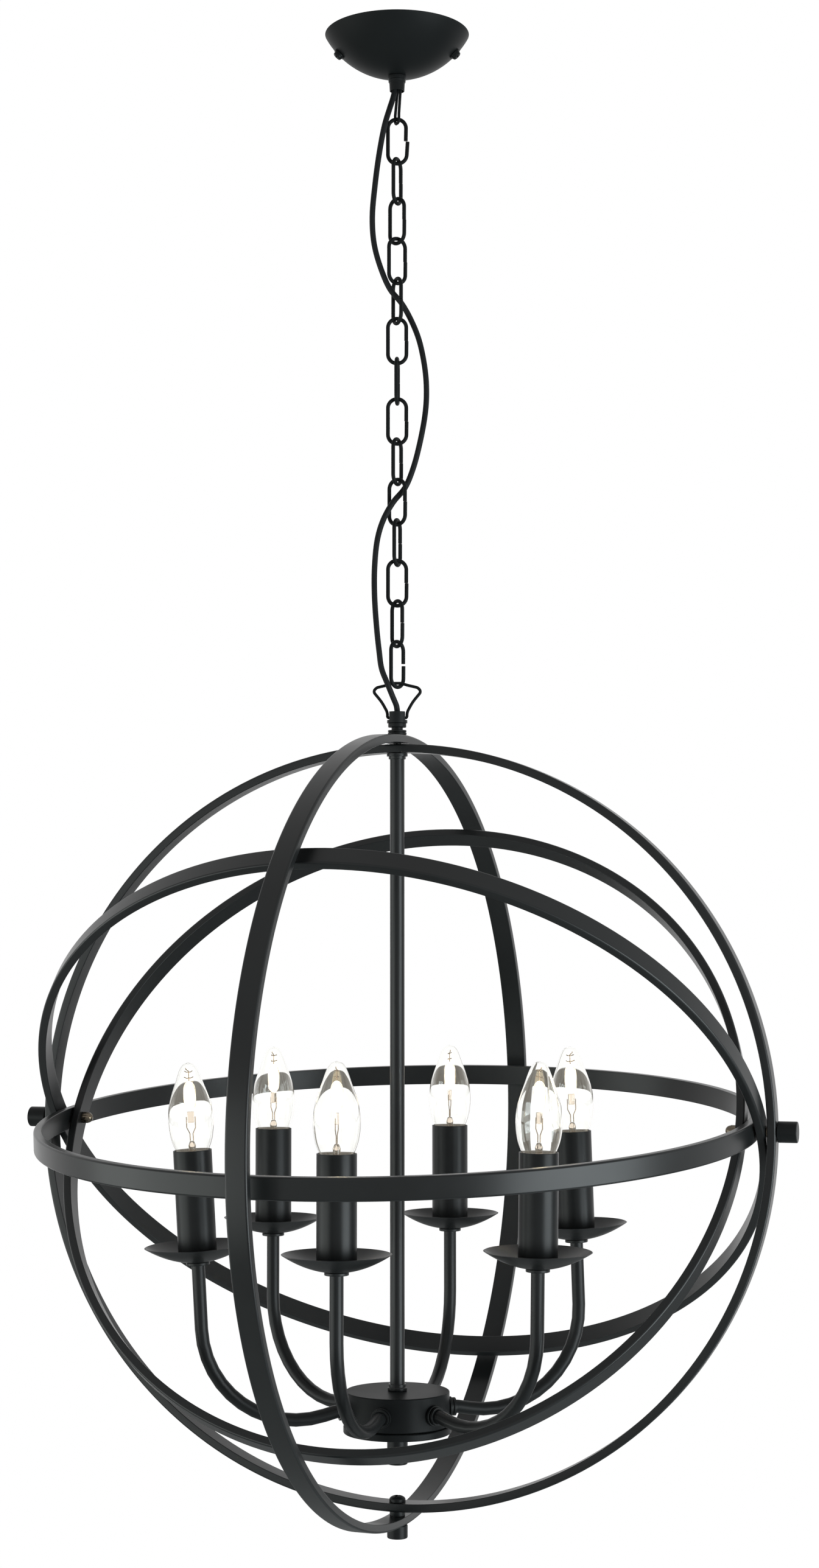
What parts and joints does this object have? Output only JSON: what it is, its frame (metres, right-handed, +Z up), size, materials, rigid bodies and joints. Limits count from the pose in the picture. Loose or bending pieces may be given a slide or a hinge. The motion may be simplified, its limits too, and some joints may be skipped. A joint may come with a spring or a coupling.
{
  "type": "orb chandelier",
  "caption": "Black metal orb chandelier: nested turning rings round a cluster of candle arms, hung on a link chain with a woven cable from a domed ceiling rose.",
  "frame": {"origin": "centre of the ceiling bracket's top face, which lies on the ceiling, on the axis of the chain and the stem", "axes": "+Z up to the ceiling, +X along the pins of the tilting rings, +Y away from the camera of the picture, turned 16.4 degrees"},
  "size_m": [0.6246, 0.6116, 1.1848],
  "materials": {
    "black_paint": "satin black powder coat",
    "black_cable": "smooth black round cable",
    "zinc_steel": "zinc plated steel",
    "clear_glass": "clear candle bulb glass"
  },
  "bodies": {
    "ceiling": {"ceiling_bracket": "zinc_steel", "canopy": "black_paint", "canopy_screw_left": "black_paint", "canopy_screw_right": "black_paint", "canopy_collar": "black_paint", "power_cable": "black_cable"},
    "link_01": {"chain_link_01": "black_paint"},
    "link_02": {"chain_link_02": "black_paint"},
    "link_03": {"chain_link_03": "black_paint"},
    "link_04": {"chain_link_04": "black_paint"},
    "link_05": {"chain_link_05": "black_paint"},
    "link_06": {"chain_link_06": "black_paint"},
    "link_07": {"chain_link_07": "black_paint"},
    "link_08": {"chain_link_08": "black_paint"},
    "link_09": {"chain_link_09": "black_paint"},
    "link_10": {"chain_link_10": "black_paint"},
    "link_11": {"chain_link_11": "black_paint"},
    "link_12": {"chain_link_12": "black_paint"},
    "link_13": {"chain_link_13": "black_paint"},
    "link_14": {"chain_link_14": "black_paint"},
    "bail": {"bail": "black_paint"},
    "orb": {"top_collar": "black_paint", "frame_ring": "black_paint", "pin_left": "black_paint", "pin_right": "black_paint", "bottom_screw": "black_paint", "bottom_knob": "black_paint", "stem": "black_paint", "hub_body": "black_paint", "hub_cover": "black_paint", "finial": "black_paint", "arm_1": "black_paint", "arm_2": "black_paint", "arm_3": "black_paint", "arm_4": "black_paint", "arm_5": "black_paint", "arm_6": "black_paint", "cup_1": "black_paint", "cup_2": "black_paint", "cup_3": "black_paint", "cup_4": "black_paint", "cup_5": "black_paint", "cup_6": "black_paint", "sleeve_1": "black_paint", "sleeve_2": "black_paint", "sleeve_3": "black_paint", "sleeve_4": "black_paint", "sleeve_5": "black_paint", "sleeve_6": "black_paint", "bulb_1": "clear_glass", "bulb_2": "clear_glass", "bulb_3": "clear_glass", "bulb_4": "clear_glass", "bulb_5": "clear_glass", "bulb_6": "clear_glass"},
    "turning_ring": {"turning_ring": "black_paint"},
    "large_ring": {"large_tilting_ring": "black_paint"},
    "middle_ring": {"middle_tilting_ring": "black_paint"},
    "small_ring": {"small_tilting_ring": "black_paint"}
  },
  "joints": [
    {"name": "link_01_swing", "type": "hinge", "parent": "ceiling", "child": "link_01", "pos_m": [0, 0, -0.07195], "axis": [-0.2823, 0.9593, 0], "range_deg": [-8, 8], "deforming": ["power_cable"]},
    {"name": "link_02_swing", "type": "hinge", "parent": "link_01", "child": "link_02", "pos_m": [0, 0, -0.10465], "axis": [0.9593, 0.2823, 0], "range_deg": [-8, 8]},
    {"name": "link_03_swing", "type": "hinge", "parent": "link_02", "child": "link_03", "pos_m": [0, 0, -0.13695], "axis": [0.1149, 0.9934, 0], "range_deg": [-8, 8]},
    {"name": "link_04_swing", "type": "hinge", "parent": "link_03", "child": "link_04", "pos_m": [0, 0, -0.16925], "axis": [0.9232, -0.3843, 0], "range_deg": [-8, 8]},
    {"name": "link_05_swing", "type": "hinge", "parent": "link_04", "child": "link_05", "pos_m": [0, 0, -0.20155], "axis": [0.7022, 0.712, 0], "range_deg": [-8, 8]},
    {"name": "link_06_swing", "type": "hinge", "parent": "link_05", "child": "link_06", "pos_m": [0, 0, -0.23385], "axis": [0.6743, -0.7385, 0], "range_deg": [-8, 8]},
    {"name": "link_07_swing", "type": "hinge", "parent": "link_06", "child": "link_07", "pos_m": [0, 0, -0.26615], "axis": [0.9593, 0.2823, 0], "range_deg": [-8, 8]},
    {"name": "link_08_swing", "type": "hinge", "parent": "link_07", "child": "link_08", "pos_m": [0, 0, -0.29845], "axis": [-0.1977, 0.9803, 0], "range_deg": [-8, 8]},
    {"name": "link_09_swing", "type": "hinge", "parent": "link_08", "child": "link_09", "pos_m": [0, 0, -0.33075], "axis": [0.9593, 0.2823, 0], "range_deg": [-8, 8]},
    {"name": "link_10_swing", "type": "hinge", "parent": "link_09", "child": "link_10", "pos_m": [0, 0, -0.36305], "axis": [0.1495, 0.9888, 0], "range_deg": [-8, 8]},
    {"name": "link_11_swing", "type": "hinge", "parent": "link_10", "child": "link_11", "pos_m": [0, 0, -0.39535], "axis": [0.9677, -0.2521, 0], "range_deg": [-8, 8]},
    {"name": "link_12_swing", "type": "hinge", "parent": "link_11", "child": "link_12", "pos_m": [0, 0, -0.42765], "axis": [0.0279, 0.9996, 0], "range_deg": [-8, 8]},
    {"name": "link_13_swing", "type": "hinge", "parent": "link_12", "child": "link_13", "pos_m": [0, 0, -0.45995], "axis": [0.9178, 0.3971, 0], "range_deg": [-8, 8]},
    {"name": "link_14_swing", "type": "hinge", "parent": "link_13", "child": "link_14", "pos_m": [0, 0, -0.49225], "axis": [0.7705, -0.6374, 0], "range_deg": [-8, 8]},
    {"name": "bail_swing", "type": "hinge", "parent": "link_14", "child": "bail", "pos_m": [0, 0, -0.52455], "axis": [0.4163, 0.9092, 0], "range_deg": [-12, 12]},
    {"name": "orb_swing", "type": "hinge", "parent": "bail", "child": "orb", "pos_m": [0, 0, -0.5486], "axis": [0.9593, 0.2823, 0], "range_deg": [-20, 20]},
    {"name": "turning_ring_turn", "type": "hinge", "parent": "orb", "child": "turning_ring", "pos_m": [0, 0, -0.867], "axis": [0, 0, 1], "range_deg": [-80.3, 87.7]},
    {"name": "large_ring_tilt", "type": "hinge", "parent": "orb", "child": "large_ring", "pos_m": [0, 0, -0.867], "axis": [1, 0, 0], "range_deg": [-39.2, 128.8]},
    {"name": "middle_ring_tilt", "type": "hinge", "parent": "orb", "child": "middle_ring", "pos_m": [0, 0, -0.867], "axis": [1, 0, 0], "range_deg": [-89.1, 78.9]},
    {"name": "small_ring_tilt", "type": "hinge", "parent": "orb", "child": "small_ring", "pos_m": [0, 0, -0.867], "axis": [1, 0, 0], "range_deg": [-142.3, 25.7]}
  ]
}
